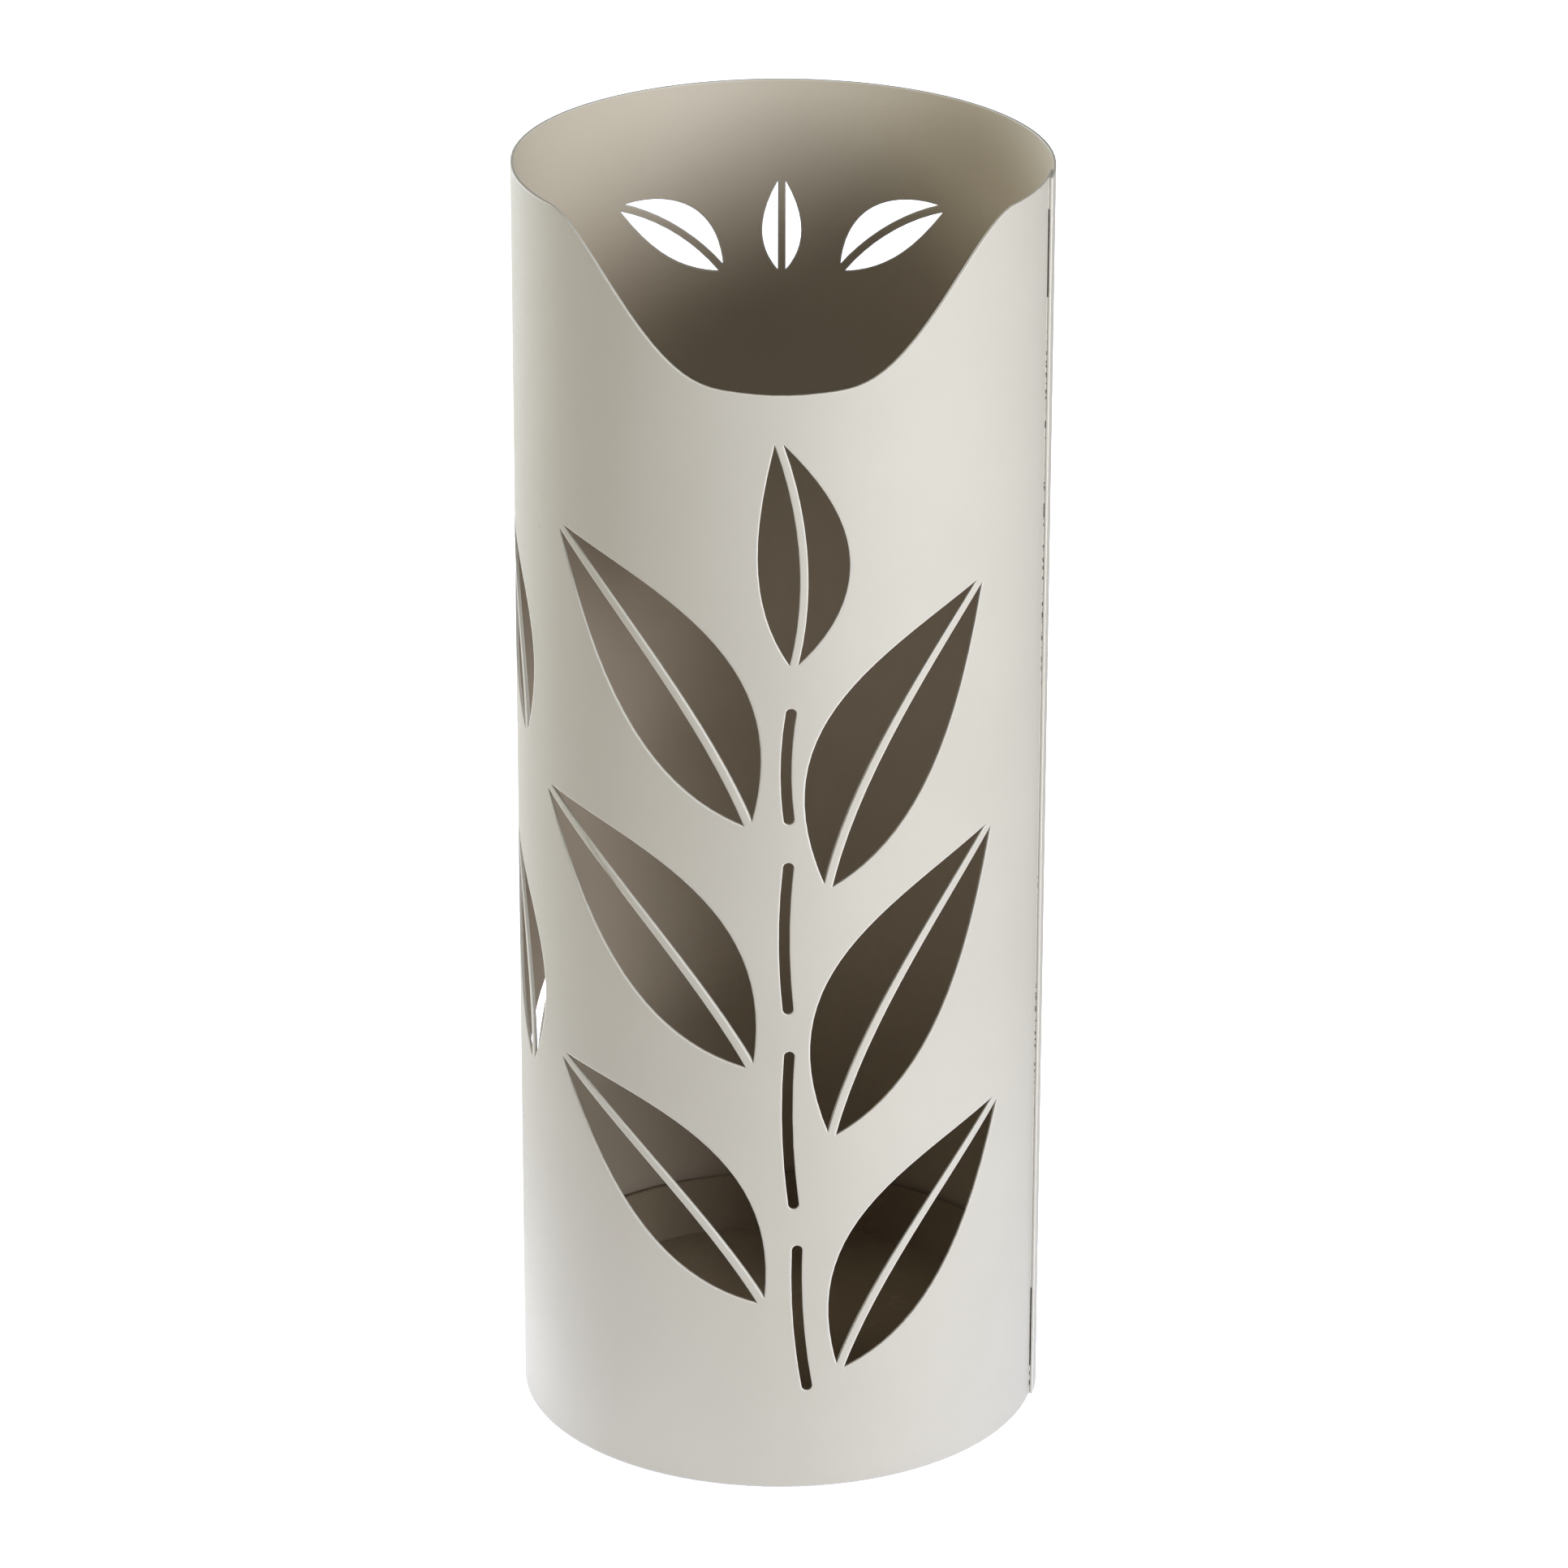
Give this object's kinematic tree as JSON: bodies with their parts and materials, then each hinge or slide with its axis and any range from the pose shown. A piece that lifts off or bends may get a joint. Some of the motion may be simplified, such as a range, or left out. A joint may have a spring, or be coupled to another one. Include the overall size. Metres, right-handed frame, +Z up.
{
  "type": "umbrella stand",
  "caption": "Tall round umbrella stand rolled from painted sheet steel, with a dipped front rim, cut-through leaves, rubber feet and a lift-out drip tray.",
  "frame": {"origin": "on the floor below the axis of the tube, at the middle of the four feet", "axes": "+Z up along the tube, +Y to the back, +X to the right with the dip of the rim at the front"},
  "size_m": [0.2009, 0.2, 0.5],
  "materials": {
    "painted_steel": "satin powder coat, warm light grey",
    "tray_plastic": "moulded plastic, warm taupe",
    "foot_rubber": "black moulded rubber",
    "plated_steel": "zinc plate"
  },
  "bodies": {
    "stand": {"wall_sheet": "painted_steel", "base_pan": "painted_steel", "foot_front_right": "foot_rubber", "foot_back_right": "foot_rubber", "foot_back_left": "foot_rubber", "foot_front_left": "foot_rubber", "foot_screws": "plated_steel", "foot_washers": "plated_steel", "foot_nuts": "plated_steel"},
    "tray": {"drip_tray": "tray_plastic"}
  },
  "joints": [
    {"name": "tray_lift", "type": "slide", "parent": "stand", "child": "tray", "axis": [0, 0, 1], "range_m": [0, 0.5]}
  ]
}
